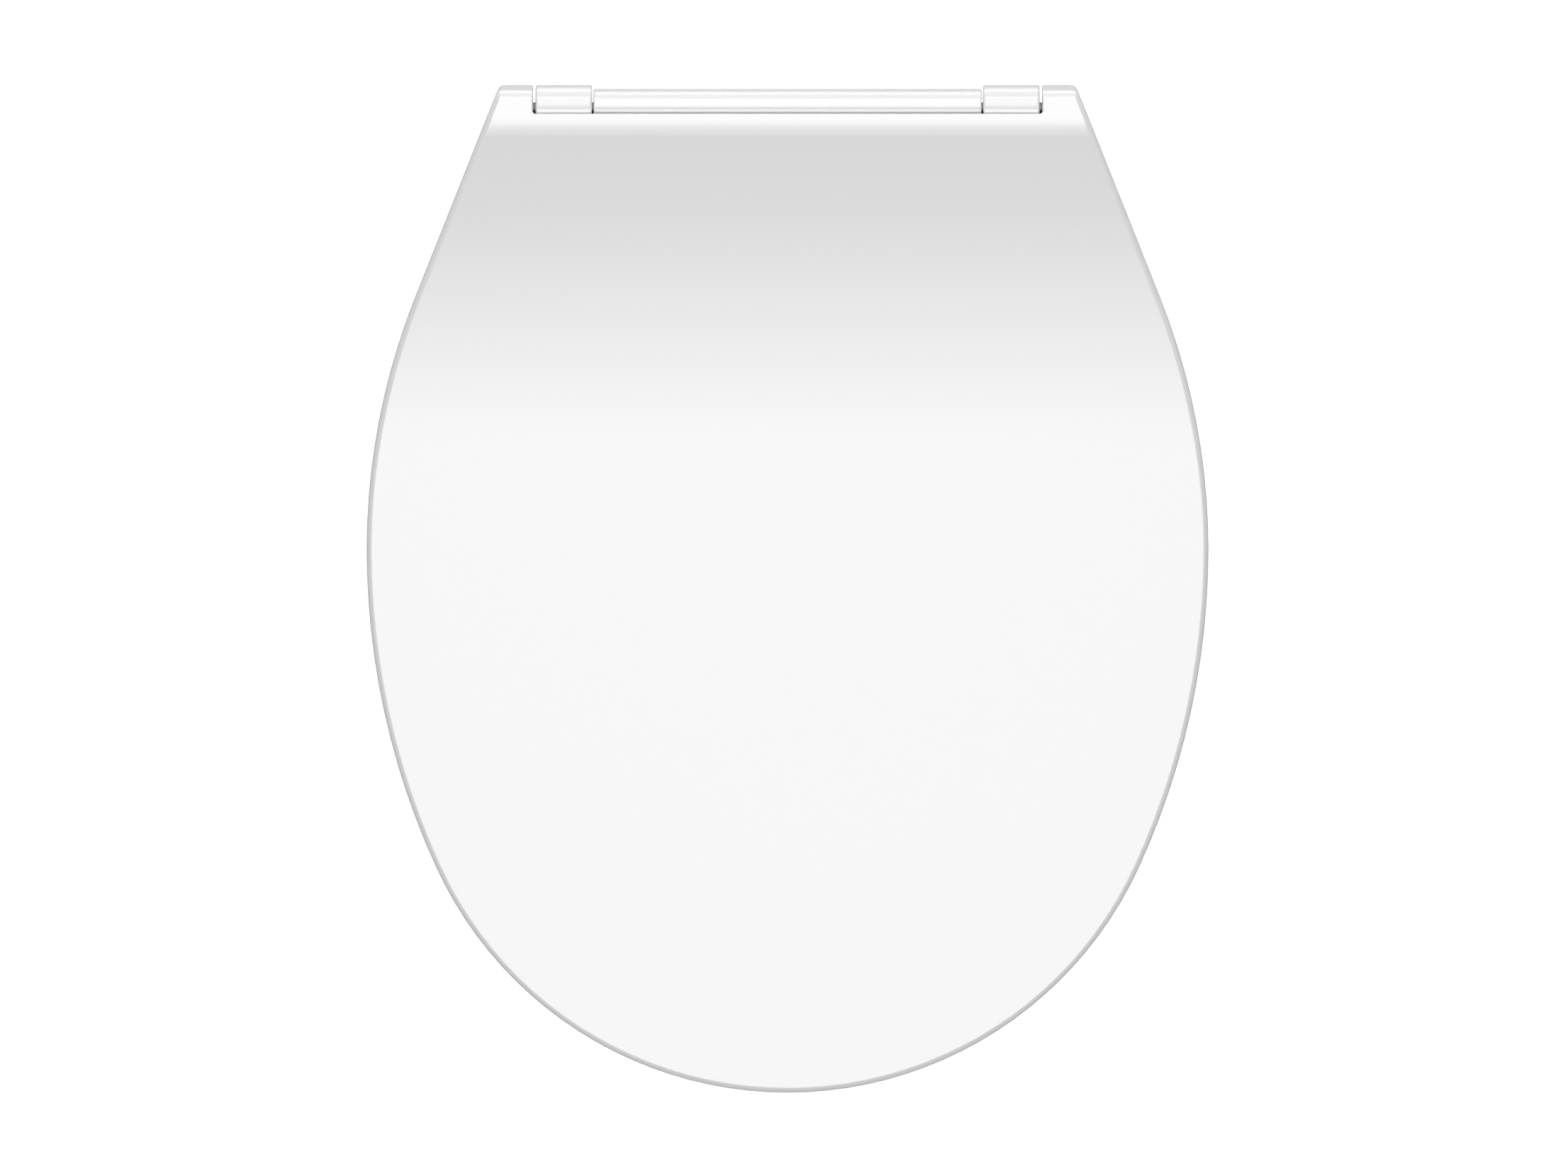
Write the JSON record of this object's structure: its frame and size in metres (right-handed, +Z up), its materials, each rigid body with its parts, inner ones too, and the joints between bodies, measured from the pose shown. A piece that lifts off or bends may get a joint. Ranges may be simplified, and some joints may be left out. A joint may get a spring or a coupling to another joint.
{
  "type": "toilet seat",
  "caption": "Slim glossy white toilet seat: tapered lid that slopes down to the hinge row, open ring seat, damped hinges that lift off posts bolted to the bowl.",
  "frame": {"origin": "on the bowl's top face, midway between the two fixing bolts", "axes": "+X to the right of a person facing the cistern, +Y to the rear, +Z up from the bowl"},
  "size_m": [0.37, 0.443, 0.097],
  "materials": {
    "white_moulding": "high gloss",
    "hinge_plastic": "high gloss",
    "slider_plastic": "gloss",
    "bush_plastic": "satin",
    "damper_plastic": "satin",
    "nut_plastic": "satin",
    "seal_rubber": "matt",
    "gasket_rubber": "matt",
    "buffer_rubber": "matt",
    "pin_steel": "turned",
    "spring_steel": "drawn",
    "post_steel": "turned",
    "plate_steel": "brushed",
    "bolt_steel": "plated"
  },
  "bodies": {
    "hinges": {"fixing_bolts": "bolt_steel", "fixing_washers": "gasket_rubber", "wing_nuts": "nut_plastic", "hinge_housing_left": "hinge_plastic", "hinge_cap_left": "hinge_plastic", "damper_case_left": "damper_plastic", "damper_cover_left": "damper_plastic", "damper_seals_left": "seal_rubber", "release_spring_left": "spring_steel", "mounting_post_left": "post_steel", "base_plate_left": "plate_steel", "base_gasket_left": "gasket_rubber", "hinge_housing_right": "hinge_plastic", "hinge_cap_right": "hinge_plastic", "damper_case_right": "damper_plastic", "damper_cover_right": "damper_plastic", "damper_seals_right": "seal_rubber", "release_spring_right": "spring_steel", "mounting_post_right": "post_steel", "base_plate_right": "plate_steel", "base_gasket_right": "gasket_rubber"},
    "seat": {"seat_ring": "white_moulding", "seat_buffers": "buffer_rubber", "seat_bush_left": "bush_plastic", "seat_bush_right": "bush_plastic", "hinge_pin_right": "pin_steel", "damper_rotor_right": "damper_plastic"},
    "lid": {"lid": "white_moulding", "lid_buffers": "buffer_rubber", "lid_bush_left": "bush_plastic", "lid_bush_right": "bush_plastic", "hinge_pin_left": "pin_steel", "damper_rotor_left": "damper_plastic"},
    "release_left": {"release_slider_left": "slider_plastic"},
    "release_right": {"release_slider_right": "slider_plastic"}
  },
  "joints": [
    {"name": "seat_hinge", "type": "hinge", "parent": "hinges", "child": "seat", "pos_m": [0, 0.025, 0.024], "axis": [-1, 0, 0], "range_deg": [0, 93]},
    {"name": "lid_hinge", "type": "hinge", "parent": "seat", "child": "lid", "pos_m": [0, 0.025, 0.024], "axis": [-1, 0, 0], "range_deg": [0, 105]},
    {"name": "release_push_left", "type": "slide", "parent": "hinges", "child": "release_left", "axis": [0, -1, 0], "range_m": [0, 0.002], "stiffness_N_per_m": 800, "springref_m": -0.001, "deforming": ["release_spring_left"]},
    {"name": "release_push_right", "type": "slide", "parent": "hinges", "child": "release_right", "axis": [0, -1, 0], "range_m": [0, 0.002], "stiffness_N_per_m": 800, "springref_m": -0.001, "deforming": ["release_spring_right"]}
  ]
}
